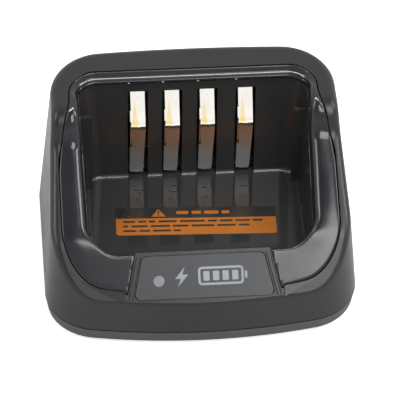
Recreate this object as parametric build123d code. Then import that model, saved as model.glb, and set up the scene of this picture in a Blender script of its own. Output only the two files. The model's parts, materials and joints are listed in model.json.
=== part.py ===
from build123d import *
import math
import os

# Single-pocket desktop charger for a hand-held two-way radio, built as separate pieces.
# Millimetres. X is the width, +Y points to the rear and +Z up. The origin is on the desk,
# under the middle of the charger.

# Housing footprint at the parting line and at the height of the hood
PARTING_Z = 5.2
HOOD_REF_Z = 52.0
HALF_WIDTH_LOW, HALF_WIDTH_HIGH = 43.0, 38.9
FRONT_LOW, FRONT_HIGH = -35.9, -24.2
CHIN_Z, CHIN_FRONT, CHIN_BOW = 13.2, -32.5, 1.7
REAR_LOW, REAR_HIGH = 35.9, 31.2
FRONT_RADIUS, REAR_RADIUS = 15.0, 14.5
FRONT_BOW, REAR_BOW = 5.4, 1.5
WALL = 2.2
SHOULDER_RADIUS = 2.2

# Side view of the top sheet: foot of the front slope, lip, foot of the hood step, hood
SHEET_FOOT = (-45.0, 0.15)
SHEET_LIP = (-20.5, 24.9)
SHEET_STEP_LOW = (4.0, 40.3)
SHEET_STEP_HIGH = (7.0, 47.2)
SHEET_REAR = (60.0, 54.4)
LIP_RADIUS, STEP_LOW_RADIUS, STEP_HIGH_RADIUS = 14.0, 8.5, 8.0
FAR = 60.0
NEAR = 1e-3

# Pocket for the radio
FLOOR_Z = 13.0
FLOOR_THICKNESS = 2.0
POCKET_WALL = 1.8
POCKET_LOW = {"half_width": 30.2, "front": -21.6, "rear": 19.2}
POCKET_HIGH = {"half_width": 31.9, "front": -25.2, "rear": 21.9}
POCKET_FRONT_RADIUS, POCKET_REAR_RADIUS = 8.0, 5.0
POCKET_TOP_Z = 54.0
FLOOR_FILLET = 1.2
GUIDE_INNER_X = 28.0
GUIDE_Y = (14.2, 15.4)
GUIDE_TOP_Z = 39.8

# Collar around the pocket mouth
SEAM_HALF_HOOD, SEAM_HALF_ARM = 34.4, 38.1
SEAM_REAR, SEAM_FRONT, SEAM_BOW = 22.8, -31.5, 4.6
SEAM_REAR_RADIUS, SEAM_FRONT_RADIUS = 8.0, 13.0
SEAM_BEND_Y = (0.0, 12.0)
SEAM_BEND_RADIUS = 14.0
COLLAR_EDGE_FILLET, OPENING_EDGE_FILLET = 0.2, 0.2
COLLAR_GAP = 0.15
SEAT_CLEARANCE = 0.6
COLLAR_THICKNESS = 2.2
COLLAR_LIP_DEPTH = 2.9
COLLAR_LIP_WIDTH = 1.2
LINER_FLOOR_Z = 5.0
MOUTH_FILLET = 1.0

# Nameplate in the front slope, measured in the slope's own plane
SLOPE_ANGLE = math.degrees(math.atan2(SHEET_LIP[1] - SHEET_FOOT[1], SHEET_LIP[0] - SHEET_FOOT[0]))
PANEL_CENTRE = (-27.4, 17.95)
PANEL_HALF_TOP, PANEL_HALF_BOTTOM = 16.6, 19.2
PANEL_HEIGHT = 11.8
PANEL_CORNER = 1.6
PANEL_THICKNESS = 1.1
PANEL_GAP = 0.2
BRIDGE_MARGIN, BRIDGE_HEIGHT_MARGIN, BRIDGE_REACH = 2.1, 4.0, 8.0
GROOVE_DEPTH, GROOVE_LAND = 0.6, 0.25
RIB_WIDTH, RIB_HEIGHT, RIB_ROOT = 0.7, 0.15, 0.2
CLEAR_OF_SLOPE = 4.0
FACE_GAP = 0.05

# Low ledge on the slope under each end of the collar, highest beside the nameplate
LEDGE_INNER, LEDGE_OUTER, LEDGE_HEIGHT = 21.8, 33.0, 0.6
LEDGE_BOTTOM, LEDGE_TOP = -6.5, -2.0
LEDGE_OUTER_BOTTOM, LEDGE_OUTER_TOP = -0.6, 2.0
GUIDE_POINT = (-12.3, -0.9)
LIGHT_RADIUS = 1.6
LIGHT_TOP, LIGHT_LENGTH, LIGHT_HOLE_LENGTH = 0.2, 2.3, 12.0
HOUSING_LIGHT_CLEARANCE = 0.15
LED_RADIUS, LED_LENGTH, LED_GAP = 1.45, 1.9, 0.1
LED_FLANGE_WIDTH, LED_FLANGE_HEIGHT = 0.15, 0.6
LEAD_HALF_SPACING, LEAD_WIDTH, LEAD_STRAIGHT = 0.65, 0.4, 0.8
LAMP_BOTTOM = LIGHT_TOP - LIGHT_LENGTH - LED_GAP - LED_LENGTH

# Contacts
CONTACT_X = [-14.9, -5.3, 4.5, 15.2]
SLOT_WIDTH = 5.6
SLOT_Z = (FLOOR_Z, 42.9)
EYE_CENTRE = (23.7, 12.6)
EYE_RADIUS, AXLE_RADIUS, AXLE_CLEARANCE = 1.25, 0.6, 0.05
STRIP_THICKNESS = 0.3
STRIP_PATH = [(23.7, 13.7), (21.7, 13.45), (20.2, 13.6), (19.35, 15.4), (18.95, 19.5), (18.5, 25.0),
              (18.1, 30.0), (18.3, 32.4), (19.3, 34.7), (21.1, 37.9), (22.9, 41.1), (24.7, 44.3)]
KNEE_Z = 31.0
STRIP_HALF_TOP, STRIP_HALF_BOTTOM = 2.0, 1.35
FLANGE_X = (-2.35, -2.05)
FLANGE_Z = (14.6, 24.8)
FLANGE_DEPTH = 1.5
TAB_X, TAB_THICKNESS = -2.1, 0.3
TAB_SIDE = [(18.2, 29.0), (18.5, 34.0), (19.9, 37.0), (23.3, 37.4), (19.5, 25.6), (18.6, 25.6)]
RIDGE_OUTLINE = [(0.1, 40.0), (0.5, 32.5), (0.55, 22.0)]
RIDGE_HEIGHT = 0.18

# Base cover, board and small hardware
BASE_BOTTOM_Z = 0.8
BASE_TOP_Z = 4.65
BASE_FLOOR_Z = 2.8
BASE_SIDE_INSET, BASE_FOOT_INSET = 0.15, 0.7
BASE_EDGE_FILLET = 0.7
TONGUE_ROOT_Z, TONGUE_TOP_Z = 3.3, 6.2
TONGUE_INSETS = (WALL + 0.7, WALL + 1.9)
POST_RADIUS, POST_HOLE_Z = 2.3, 2.0
SCREW_CLEARANCE, FOOT_CLEARANCE = 0.3, 0.1
VENT_X = range(-9, 10, 3)
VENT_WIDTH, VENT_Y = 1.2, (14.0, 24.0)
RATING_SIZE, RATING_CORNER, RATING_Y = (34.0, 18.0), 1.2, -6.0
RATING_MARGIN, RATING_TOP_Z = 0.2, BASE_BOTTOM_Z + 0.2
BOARD_Z = (4.4, 6.0)
TAIL_END_Z = BOARD_Z[0] - 0.6
BOARD_HALF_X = 24.0
BOARD_Y = (-28.4, 29.8)
BOARD_SCREWS = [(-21.0, -24.0), (21.0, -24.0), (-21.0, 17.0), (21.0, 17.0)]
CASE_SCREWS = [(-28.6, -14.0), (28.6, -14.0), (-28.6, 12.0), (28.6, 12.0)]
CASE_SHANK, CASE_HEAD = 1.1, 2.3
CASE_HEAD_Z, CASE_NECK_Z, CASE_SCREW_TOP_Z = 1.0, 2.5, 10.2
BOARD_SHANK, BOARD_HEAD, BOARD_HEAD_HEIGHT, BOARD_SCREW_LOW_Z = 0.9, 1.8, 1.2, 2.2
BOSS_RADIUS = 2.9
FEET = [(-29.0, -22.0), (29.0, -22.0), (-29.0, 23.0), (29.0, 23.0)]
FOOT_RADIUS, FOOT_TOP_Z, FOOT_FILLET = 4.2, 1.2, 0.35
JACK_X, JACK_Z = 25.0, 11.6
JACK_BODY = (9.0, 8.8, 10.6)
JACK_FRONT_Y = 30.2
JACK_NOSE_LENGTH, JACK_CLEARANCE = 4.0, 0.2
JACK_NOTCH_HALF, JACK_NOTCH_Y = 5.2, (26.0, 33.5)
JACK_NOSE_RADIUS, JACK_BORE_RADIUS, JACK_PIN_RADIUS = 3.9, 2.8, 1.05
JACK_BORE_DEPTH, JACK_PIN_SETBACK = 8.4, 0.8
CONTROLLER_AT, CONTROLLER_SIZE = (-7.0, -6.0), (4.0, 10.0)
LEADS_PER_SIDE, LEAD_PITCH = 8, 1.27
TRANSISTOR_AT, INDUCTOR_AT, DIODE_AT = (9.0, 4.0), (9.0, -10.0), (16.5, -20.0)
CAPACITORS_AT, CAPACITOR_RADIUS, CAPACITOR_HEIGHT = ((-12.0, 28.9), (10.0, 28.9)), 1.95, 11.0
CHIP_SIZE = (2.0, 1.25, 0.7)
CHIPS_AT = [(-16.0, -12.0, 0), (-16.0, -8.0, 0), (-16.0, -4.0, 0), (-16.0, 4.0, 90), (-12.0, 4.0, 90),
            (-1.0, -12.0, 90), (-1.0, -2.0, 0), (0.0, 14.0, 0), (-6.0, 14.0, 0), (16.0, 8.0, 90)]

# Stickers and the marks moulded in the pocket floor
LABEL_THICKNESS = 0.12
NOTICE_X = (-22.3, 22.4)
NOTICE_Y = (-5.9, 5.0)
NOTICE_TURN, NOTICE_CORNER = -2.2, 0.8
MARK_Y, MARK_SIZE, MARK_WIDTH, MARK_HEIGHT = 13.4, 3.2, 0.5, 0.18


def box(x, y, z):
    """Box between two limits on each axis."""
    size = [high - low for low, high in (x, y, z)]
    middle = [(high + low) / 2 for low, high in (x, y, z)]
    return Pos(*middle) * Box(*size)


def block(x, y, size, z):
    """Box centred on a point in plan, between two heights."""
    return Pos(x, y, (z[0] + z[1]) / 2) * Box(size[0], size[1], z[1] - z[0])


def rod(radius, x, y, z):
    """Upright cylinder between two heights."""
    return Pos(x, y, (z[0] + z[1]) / 2) * Cylinder(radius, z[1] - z[0])


def outline(half_width, front, rear, front_radius, rear_radius, front_bow=0.0, rear_bow=0.0):
    """Rounded rectangle with bowed front and rear edges."""
    left_front, right_front = (-half_width, front + front_bow), (half_width, front + front_bow)
    left_rear, right_rear = (-half_width, rear - rear_bow), (half_width, rear - rear_bow)
    front_edge = bowed_edge(left_front, (0, front), right_front)
    rear_edge = bowed_edge(right_rear, (0, rear), left_rear)
    face = make_face([front_edge, Line(right_front, right_rear), rear_edge, Line(left_rear, left_front)])
    face = fillet(face.vertices().group_by(Axis.Y)[0], front_radius)
    return fillet(face.vertices().sort_by(Axis.Y)[-2:], rear_radius)


def bowed_edge(start, middle, end):
    """Arc over the middle point, or a line when the middle is level with the ends."""
    if start[1] == middle[1]:
        return Line(start, end)
    return ThreePointArc(start, middle, end)


def housing_outline(inset):
    """Plan of the housing at the parting line, moved inward by inset."""
    return outline(HALF_WIDTH_LOW - inset, FRONT_LOW + inset, REAR_LOW - inset,
                   FRONT_RADIUS - inset, REAR_RADIUS - inset, FRONT_BOW, REAR_BOW)


def body_block(inset):
    """Tapered outer block of the housing, moved inward by inset."""
    share = (CHIN_Z - PARTING_Z) / (HOOD_REF_Z - PARTING_Z)
    chin_half_width = HALF_WIDTH_LOW + share * (HALF_WIDTH_HIGH - HALF_WIDTH_LOW)
    chin_rear = REAR_LOW + share * (REAR_HIGH - REAR_LOW)
    sections = []
    for z, half_width, front, rear, bow in (
        (PARTING_Z, HALF_WIDTH_LOW, FRONT_LOW, REAR_LOW, FRONT_BOW),
        (CHIN_Z, chin_half_width, CHIN_FRONT, chin_rear, CHIN_BOW),
        (HOOD_REF_Z, HALF_WIDTH_HIGH, FRONT_HIGH, REAR_HIGH, FRONT_BOW),
    ):
        face = outline(half_width - inset, front + inset, rear - inset,
                       FRONT_RADIUS - inset, REAR_RADIUS - inset, bow, REAR_BOW)
        sections.append(Pos(0, 0, z) * face)
    return loft(sections)


def under_sheet(depth):
    """Everything below the top sheet once the sheet is lowered by depth."""
    top = Polyline(SHEET_FOOT, SHEET_LIP, SHEET_STEP_LOW, SHEET_STEP_HIGH, SHEET_REAR)
    rest = Polyline(SHEET_REAR, (SHEET_REAR[0], -FAR), (SHEET_FOOT[0] - FAR, -FAR),
                    (SHEET_FOOT[0] - FAR, SHEET_FOOT[1] - FAR), SHEET_FOOT)
    face = make_face(top.edges() + rest.edges())
    for point, radius in ((SHEET_LIP, LIP_RADIUS), (SHEET_STEP_LOW, STEP_LOW_RADIUS),
                          (SHEET_STEP_HIGH, STEP_HIGH_RADIUS)):
        corner = face.vertices().sort_by_distance((point[0], point[1], 0))[0]
        face = fillet(corner, radius)
    if depth:
        face = offset(face, -depth)
    return extrude(Plane.YZ * face, FAR, both=True)


def sheet_band(high, low):
    """Layer of the top sheet between two depths."""
    return under_sheet(high) - under_sheet(low)


def upright(face, low=0.0, high=FAR):
    """Prism over a plan outline between two heights."""
    return extrude(Pos(0, 0, low) * face, high - low)


def seam_outline(inset=0.0):
    """Plan of the collar's outer edge: narrow at the hood, wide along the arms."""
    hood_half, arm_half = SEAM_HALF_HOOD - inset, SEAM_HALF_ARM - inset
    rear, front = SEAM_REAR - inset, SEAM_FRONT + inset
    left = [(-hood_half, rear), (-hood_half, SEAM_BEND_Y[1]), (-arm_half, SEAM_BEND_Y[0]),
            (-arm_half, front + SEAM_BOW)]
    right = [(-x, y) for x, y in reversed(left)]
    face = make_face([*Polyline(*left).edges(), ThreePointArc(left[-1], (0, front), right[0]),
                      *Polyline(*right).edges(), Line(right[-1], left[0])])
    face = fillet(face.vertices().sort_by(Axis.Y)[:2], SEAM_FRONT_RADIUS - inset)
    face = fillet(face.vertices().sort_by(Axis.Y)[-2:], SEAM_REAR_RADIUS - inset)
    bends = [v for v in face.vertices() if min(abs(v.Y - y) for y in SEAM_BEND_Y) < NEAR]
    return fillet(bends, SEAM_BEND_RADIUS)


def pocket_void(outset=0.0, floor=FLOOR_Z, floor_fillet=FLOOR_FILLET):
    """Space inside the pocket, or the outside of its liner when outset is given."""
    sections = []
    for z, plan in ((FLOOR_Z, POCKET_LOW), (POCKET_TOP_Z, POCKET_HIGH)):
        face = outline(plan["half_width"] + outset, plan["front"] - outset, plan["rear"] + outset,
                       POCKET_FRONT_RADIUS + outset, POCKET_REAR_RADIUS + outset)
        sections.append(Pos(0, 0, z) * face)
    solid = loft(sections, ruled=True)
    if floor < FLOOR_Z:
        solid = solid + extrude(sections[0], FLOOR_Z - floor, dir=(0, 0, -1))
    if floor_fillet:
        solid = fillet(solid.faces().sort_by(Axis.Z)[0].edges(), floor_fillet)
    return solid


def slope_plane():
    """Plane of the front slope, centred on the nameplate, with its normal pointing outward."""
    angle = math.radians(SLOPE_ANGLE)
    return Plane(origin=(0, *PANEL_CENTRE), x_dir=(1, 0, 0), z_dir=(0, -math.sin(angle), math.cos(angle)))


def trapezoid(margin, height_margin, corner):
    """Nameplate outline in the slope's plane, grown by the margins along the same slanted sides."""
    half_height = PANEL_HEIGHT / 2 + height_margin
    top = side_edge(half_height) + margin
    bottom = side_edge(-half_height) + margin
    face = make_face(Polyline((-bottom, -half_height), (bottom, -half_height), (top, half_height),
                              (-top, half_height), close=True).edges())
    return fillet(face.vertices(), corner) if corner else face


def side_edge(height):
    """Half width of the nameplate at a height in the slope's plane."""
    middle = (PANEL_HALF_BOTTOM + PANEL_HALF_TOP) / 2
    return middle - (PANEL_HALF_BOTTOM - PANEL_HALF_TOP) * height / PANEL_HEIGHT


def on_slope(face, low, high):
    """Prism on the front slope between two heights above it."""
    return slope_plane() * extrude(Pos(0, 0, low) * face, high - low)


def bridge_region(margin):
    """Prism that splits the collar at the front, over the nameplate."""
    return on_slope(trapezoid(BRIDGE_MARGIN + margin, BRIDGE_HEIGHT_MARGIN, 0), -BRIDGE_REACH, BRIDGE_REACH)


def boundary_edges(faces):
    """Edges that belong to exactly one of the given faces."""
    edges = [edge for face in faces for edge in face.edges()]
    return [edge for edge in edges
            if sum((edge.center() - other.center()).length < NEAR for other in edges) == 1]


def housing_solid():
    """Outside shape of the housing with its rounded shoulder, still solid."""
    solid = body_block(0.0) & under_sheet(0.0)
    return fillet(boundary_edges(sheet_faces(solid)), SHOULDER_RADIUS)


def sheet_faces(solid):
    """Faces of the housing that belong to the top sheet."""
    return [face for face in solid.faces()
            if abs(face.normal_at().X) < 1e-4 and face.normal_at().Z > 0.3 and face.center().Z > CHIN_Z]


def make_top_housing(outside, void):
    """Shell of the housing with the opening for the collar, grooves, ribs and ledges."""
    skin = outside - (body_block(WALL) & under_sheet(WALL))
    for side in (-1, 1):
        skin = skin + ledge(side)
    above = -1.0
    opening = upright(seam_outline()) & sheet_band(above, COLLAR_THICKNESS + SEAT_CLEARANCE)
    lip_space = pocket_void(COLLAR_LIP_WIDTH + COLLAR_GAP, floor=LINER_FLOOR_Z, floor_fillet=0)
    opening = opening + (lip_space & sheet_band(above, COLLAR_LIP_DEPTH + SEAT_CLEARANCE))
    housing = skin - (opening - bridge_region(-COLLAR_GAP))
    recess_face = trapezoid(PANEL_GAP, PANEL_GAP, PANEL_CORNER)
    recess = on_slope(recess_face, -PANEL_THICKNESS - FACE_GAP, CLEAR_OF_SLOPE)
    housing = housing - recess - void - light_hole(HOUSING_LIGHT_CLEARANCE) - jack_hole()
    for side in (-1, 1):
        housing = housing - groove(side) + (groove_rib(side) - void)
    housing = largest(housing)
    rim = top_edges_on(housing, upright(seam_outline()), LEDGE_HEIGHT + 0.1)
    return fillet(rim, OPENING_EDGE_FILLET)


def groove(side):
    """Groove in the slope beside the nameplate, cut open to the outside."""
    return side_strip(side, *groove_limits(), -GROOVE_DEPTH, CLEAR_OF_SLOPE)


def groove_rib(side):
    """Raised line along the middle of the groove."""
    middle = sum(groove_limits()) / 2
    inner, outer = middle - RIB_WIDTH / 2, middle + RIB_WIDTH / 2
    return side_strip(side, inner, outer, -GROOVE_DEPTH - RIB_ROOT, RIB_HEIGHT)


def groove_limits():
    """Distances of the groove's two edges from the side of the nameplate."""
    return PANEL_GAP + GROOVE_LAND, BRIDGE_MARGIN - COLLAR_GAP - GROOVE_LAND


def side_strip(side, inner, outer, low, high):
    """Slanted strip beside the nameplate, between two distances from its edge and two heights."""
    half = PANEL_HEIGHT / 2
    corners = ((-half, inner), (-half, outer), (half, outer), (half, inner))
    points = [(side * (side_edge(height) + distance), height) for height, distance in corners]
    return on_slope(make_face(Polyline(*points, close=True).edges()), low, high)


def ledge(side):
    """Wedge on the front slope that rises toward the nameplate."""
    points = [(LEDGE_INNER, LEDGE_BOTTOM), (LEDGE_OUTER, LEDGE_OUTER_BOTTOM),
              (LEDGE_OUTER, LEDGE_OUTER_TOP), (LEDGE_INNER, LEDGE_TOP)]
    face = make_face(Polyline(*[(side * u, v) for u, v in points], close=True).edges())
    tilt = math.degrees(math.atan(LEDGE_HEIGHT / (LEDGE_OUTER - LEDGE_INNER)))
    tilted = Pos(side * LEDGE_OUTER, 0, 0) * Rot(0, side * tilt, 0)
    below = tilted * Pos(0, 0, -FAR / 2) * Box(FAR, FAR, FAR)
    wedge = extrude(Pos(0, 0, -WALL / 2) * face, WALL) & below
    return slope_plane() * wedge


def light_hole(clearance):
    """Bore for the light guide, square to the front slope."""
    return slope_plane() * (Pos(*GUIDE_POINT, 0) * Cylinder(LIGHT_RADIUS + clearance, LIGHT_HOLE_LENGTH))


def jack_hole():
    """Hole for the nose of the power inlet, open through the rear wall."""
    return lying_rod(JACK_NOSE_RADIUS + JACK_CLEARANCE, JACK_FRONT_Y, FAR)


def lying_rod(radius, front, rear):
    """Cylinder along Y on the axis of the power inlet."""
    return Pos(JACK_X, (front + rear) / 2, JACK_Z) * Rot(90, 0, 0) * Cylinder(radius, rear - front)


def largest(shape):
    """Biggest solid of a result, dropping slivers left by a cut."""
    return shape.solids().sort_by(SortBy.VOLUME)[-1]


def make_collar(outside, void):
    """Ring set into the housing, with a lip down into the pocket and a gap for the nameplate."""
    liner = pocket_void(COLLAR_LIP_WIDTH, floor=LINER_FLOOR_Z, floor_fillet=0)
    outer_wall = upright(seam_outline(COLLAR_GAP))
    ring = outer_wall & sheet_band(0.0, COLLAR_THICKNESS)
    lip = liner & sheet_band(0.0, COLLAR_LIP_DEPTH)
    collar = largest(((ring + lip) & outside) - void)
    collar = fillet(top_edges_on(collar, void, 0.05), MOUTH_FILLET)
    collar = largest(collar - bridge_region(0.0))
    return fillet(top_edges_on(collar, outer_wall, 0.05), COLLAR_EDGE_FILLET)


def top_edges_on(shape, wall, tolerance):
    """Edges of the shape that lie on the skin of the wall solid and near the top sheet."""
    sheet = under_sheet(0.0)
    return [edge for edge in shape.edges() if lies_on(edge, wall, NEAR) and lies_on(edge, sheet, tolerance)]


def lies_on(edge, solid, tolerance):
    """True when the whole edge stays within the tolerance of the solid's skin."""
    for fraction in (0.2, 0.5, 0.8):
        point = edge @ fraction
        if solid.faces().sort_by_distance(point)[0].distance_to(point) > tolerance:
            return False
    return True


def make_pocket_well(void):
    """Liner of the pocket: floor, walls, contact slots, guide ribs and marks on the floor."""
    shell = pocket_void(POCKET_WALL, floor=FLOOR_Z - FLOOR_THICKNESS, floor_fillet=0)
    well = (shell & under_sheet(COLLAR_LIP_DEPTH + 0.05)) - void
    for x in CONTACT_X:
        slot = box((x - SLOT_WIDTH / 2, x + SLOT_WIDTH / 2), (14.0, 26.0), SLOT_Z)
        well = well - slot
    for side in (-1, 1):
        inner, outer = GUIDE_INNER_X, POCKET_HIGH["half_width"]
        rib = box(sorted((side * inner, side * outer)), GUIDE_Y, (FLOOR_Z - 0.5, GUIDE_TOP_Z))
        well = well + (rib & (void + shell))
    well = largest(well)
    for index, x in enumerate(CONTACT_X):
        well = well + floor_mark(index, x)
    for x, y in CASE_SCREWS:
        boss = rod(BOSS_RADIUS, x, y, (BOARD_Z[1] + 0.2, FLOOR_Z - FLOOR_THICKNESS))
        well = well + boss - rod(CASE_SHANK, x, y, (0.0, CASE_SCREW_TOP_Z))
    return well


def floor_mark(index, x):
    """Raised plus, ring, plus or minus in front of a contact."""
    half, width = MARK_SIZE / 2, MARK_WIDTH / 2
    if index == 1:
        face = Circle(half) - Circle(half - MARK_WIDTH)
    elif index == 3:
        face = Rectangle(2 * half, 2 * width)
    else:
        face = Rectangle(2 * half, 2 * width) + Rectangle(2 * width, 2 * half)
    return extrude(Pos(x, MARK_Y, FLOOR_Z) * face, MARK_HEIGHT)


def make_front_panel():
    """Nameplate set into the front slope."""
    plate = on_slope(trapezoid(0.0, 0.0, PANEL_CORNER), -PANEL_THICKNESS, 0.12)
    top = plate.faces().sort_by(SortBy.AREA)[-2:].sort_by(Axis.Z)[-1]
    return chamfer(top.edges(), 0.12) - light_hole(0.05)


def make_light_guide():
    """Clear rod from the nameplate down to the lamp."""
    body = Pos(*GUIDE_POINT, LIGHT_TOP - LIGHT_LENGTH / 2) * Cylinder(LIGHT_RADIUS, LIGHT_LENGTH)
    return slope_plane() * fillet(body.edges().sort_by(Axis.Z)[-1], 0.2)


def make_lamp():
    """Round lamp body with a domed end, facing the light guide."""
    low = LAMP_BOTTOM
    body = Pos(*GUIDE_POINT, low + LED_LENGTH / 2) * Cylinder(LED_RADIUS, LED_LENGTH)
    flange = Cylinder(LED_RADIUS + LED_FLANGE_WIDTH, LED_FLANGE_HEIGHT)
    flange = Pos(*GUIDE_POINT, low + LED_FLANGE_HEIGHT / 2) * flange
    body = fillet(body.edges().sort_by(Axis.Z)[-1], LED_RADIUS * 0.6)
    return slope_plane() * (body + flange)


def make_lamp_leads():
    """Two lamp leads from the lamp down into the board."""
    leads = []
    for side in (-1, 1):
        x, height = GUIDE_POINT[0] + side * LEAD_HALF_SPACING, GUIDE_POINT[1]
        start = slope_plane().from_local_coords(Vector(x, height, LAMP_BOTTOM))
        end = slope_plane().from_local_coords(Vector(x, height, LAMP_BOTTOM - LEAD_STRAIGHT))
        path = Polyline(tuple(start), tuple(end), (end.X, end.Y, TAIL_END_Z))
        section = Plane(start, z_dir=path % 0) * Rectangle(LEAD_WIDTH, LEAD_WIDTH)
        leads.append(sweep(section, path, transition=Transition.RIGHT))
    return Compound(children=[lead.solid() for lead in leads])


def make_base_cover():
    """Bottom cover with an upstanding tongue, board posts, screw bosses and recesses."""
    sections = []
    for z, inset in ((BASE_BOTTOM_Z, BASE_FOOT_INSET), (BASE_TOP_Z, BASE_SIDE_INSET)):
        sections.append(Pos(0, 0, z) * housing_outline(inset))
    cover = loft(sections, ruled=True)
    cover = fillet(cover.faces().sort_by(Axis.Z)[0].edges(), BASE_EDGE_FILLET)
    tongue, hollow = [housing_outline(inset) for inset in TONGUE_INSETS]
    cover = cover - upright(hollow, BASE_FLOOR_Z, BASE_TOP_Z)
    cover = cover + (upright(tongue, TONGUE_ROOT_Z, TONGUE_TOP_Z) - upright(hollow))
    for x, y in BOARD_SCREWS:
        post = rod(POST_RADIUS, x, y, (BASE_FLOOR_Z, BOARD_Z[0]))
        cover = cover + post - rod(BOARD_SHANK, x, y, (POST_HOLE_Z, FAR))
    for x, y in CASE_SCREWS:
        cover = cover + rod(BOSS_RADIUS, x, y, (BASE_FLOOR_Z, BOARD_Z[1]))
        cover = cover - rod(CASE_SHANK + SCREW_CLEARANCE, x, y, (0.0, FAR))
        cover = cover - rod(CASE_HEAD + SCREW_CLEARANCE, x, y, (0.0, CASE_NECK_Z))
    for x, y in FEET:
        cover = cover - rod(FOOT_RADIUS + FOOT_CLEARANCE, x, y, (0.0, FOOT_TOP_Z))
    jack_notch = box((JACK_X - JACK_NOTCH_HALF, JACK_X + JACK_NOTCH_HALF), JACK_NOTCH_Y,
                     (BASE_TOP_Z, TONGUE_TOP_Z + 1.0))
    for x in VENT_X:
        cover = cover - box((x - VENT_WIDTH / 2, x + VENT_WIDTH / 2), VENT_Y, (0.0, BASE_FLOOR_Z + 0.1))
    return largest(cover - upright(rating_outline(RATING_MARGIN), 0.0, RATING_TOP_Z) - jack_notch)


def rating_outline(margin=0.0):
    """Plan of the rating plate, or of its recess when a margin is given."""
    width, depth = [side + 2 * margin for side in RATING_SIZE]
    return Pos(0, RATING_Y) * RectangleRounded(width, depth, RATING_CORNER)


def make_rating_label():
    """Blank plate under the base."""
    return upright(rating_outline(), RATING_TOP_Z - LABEL_THICKNESS, RATING_TOP_Z)


def make_notice_label():
    """Thin sticker on the pocket floor with rounded corners."""
    width, depth = NOTICE_X[1] - NOTICE_X[0], NOTICE_Y[1] - NOTICE_Y[0]
    face = Rot(0, 0, NOTICE_TURN) * RectangleRounded(width, depth, NOTICE_CORNER)
    face = Pos(sum(NOTICE_X) / 2, sum(NOTICE_Y) / 2) * face
    return upright(face, FLOOR_Z, FLOOR_Z + LABEL_THICKNESS)


def make_rubber_feet():
    """Four round feet set into the base, standing on the desk."""
    feet = []
    for x, y in FEET:
        foot = rod(FOOT_RADIUS, x, y, (0.0, FOOT_TOP_Z))
        feet.append(fillet(foot.edges().sort_by(Axis.Z)[0], FOOT_FILLET))
    return Compound(children=[foot.solid() for foot in feet])


def cross_recess(size, depth):
    """Cross-shaped screwdriver recess."""
    width = size * 0.28
    return Box(size, width, depth) + Box(width, size, depth)


def make_case_screws():
    """Screws driven up through the base into the bosses under the pocket."""
    screws = []
    for x, y in CASE_SCREWS:
        head = rod(CASE_HEAD, x, y, (CASE_HEAD_Z, CASE_NECK_Z))
        head = fillet(head.edges().sort_by(Axis.Z)[0], 0.5)
        screw = head + rod(CASE_SHANK, x, y, (CASE_NECK_Z, CASE_SCREW_TOP_Z))
        screws.append(screw - Pos(x, y, CASE_HEAD_Z) * cross_recess(2.6, 1.4))
    return Compound(children=[screw.solid() for screw in screws])


def make_board_screws():
    """Screws that hold the board down on the base posts."""
    screws = []
    top = BOARD_Z[1] + BOARD_HEAD_HEIGHT
    for x, y in BOARD_SCREWS:
        head = rod(BOARD_HEAD, x, y, (BOARD_Z[1], top))
        head = fillet(head.edges().sort_by(Axis.Z)[-1], 0.4)
        screw = head + rod(BOARD_SHANK, x, y, (BOARD_SCREW_LOW_Z, BOARD_Z[1]))
        screws.append(screw - Pos(x, y, top) * cross_recess(2.0, 1.0))
    return Compound(children=[screw.solid() for screw in screws])


def make_circuit_board(inserts):
    """Board with its screw holes and the holes for everything soldered through it."""
    face = Pos(0, sum(BOARD_Y) / 2) * RectangleRounded(2 * BOARD_HALF_X, BOARD_Y[1] - BOARD_Y[0], 1.5)
    board = upright(face, *BOARD_Z)
    wing = box((BOARD_HALF_X - 2.0, JACK_X + JACK_BODY[0] / 2), (20.0, 28.6), BOARD_Z)
    board = board + wing
    for x, y in BOARD_SCREWS:
        board = board - rod(1.0, x, y, (0.0, FAR))
    for insert in inserts:
        board = board - insert
    return board.solid()


def make_contact_spring(x):
    """Bent leaf contact with a stiffening ridge, side flange, side tab and a rolled eye at its root."""
    leaf = extrude(Plane.YZ * trace(Spline(*STRIP_PATH), STRIP_THICKNESS), STRIP_HALF_TOP + 1.0, both=True)
    low, high = STRIP_PATH[0][1] - 1.0, STRIP_PATH[-1][1] + 1.0
    front = mirrored([(STRIP_HALF_TOP, high), (STRIP_HALF_TOP, KNEE_Z), (STRIP_HALF_BOTTOM, low)])
    ear = Pos(FLANGE_X[0] / 2, sum(FLANGE_Z) / 2) * Rectangle(-FLANGE_X[0], FLANGE_Z[1] - FLANGE_Z[0])
    leaf = leaf & extrude(Plane.XZ * (front + ear), FAR, both=True)
    flange = box(FLANGE_X, (17.0, 24.0), FLANGE_Z) & flange_side_view()
    tab_face = Plane.YZ * make_face(Polyline(*TAB_SIDE, close=True).edges())
    tab = Pos(TAB_X, 0, 0) * extrude(tab_face, TAB_THICKNESS / 2, both=True)
    ridge = extrude(Plane.YZ * trace(Spline(*STRIP_PATH), STRIP_THICKNESS + 2 * RIDGE_HEIGHT), 1.0, both=True)
    ridge = ridge & extrude(Plane.XZ * mirrored(RIDGE_OUTLINE), FAR, both=True)
    eye = Pos(0, *EYE_CENTRE) * Rot(0, 90, 0) * Cylinder(EYE_RADIUS, 2 * STRIP_HALF_BOTTOM)
    bore = Pos(0, *EYE_CENTRE) * Rot(0, 90, 0) * Cylinder(AXLE_RADIUS + AXLE_CLEARANCE, 9.0)
    return Pos(x, 0, 0) * (leaf + flange + tab + ridge + eye - bore).solid()


def mirrored(points):
    """Face between the points and their mirror image across the vertical axis."""
    return make_face(Polyline(*points, *[(-x, y) for x, y in reversed(points)], close=True).edges())


def flange_side_view():
    """Sheet behind the lower leaf that stiffens its left edge."""
    path = Spline(*STRIP_PATH)
    front = [path @ (i / 20) for i in range(21)]
    points = [(p.X, p.Y) for p in front] + [(p.X + FLANGE_DEPTH, p.Y) for p in reversed(front)]
    face = make_face(Polyline(*points, close=True).edges())
    return extrude(Plane.YZ * face, FAR, both=True)


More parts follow.
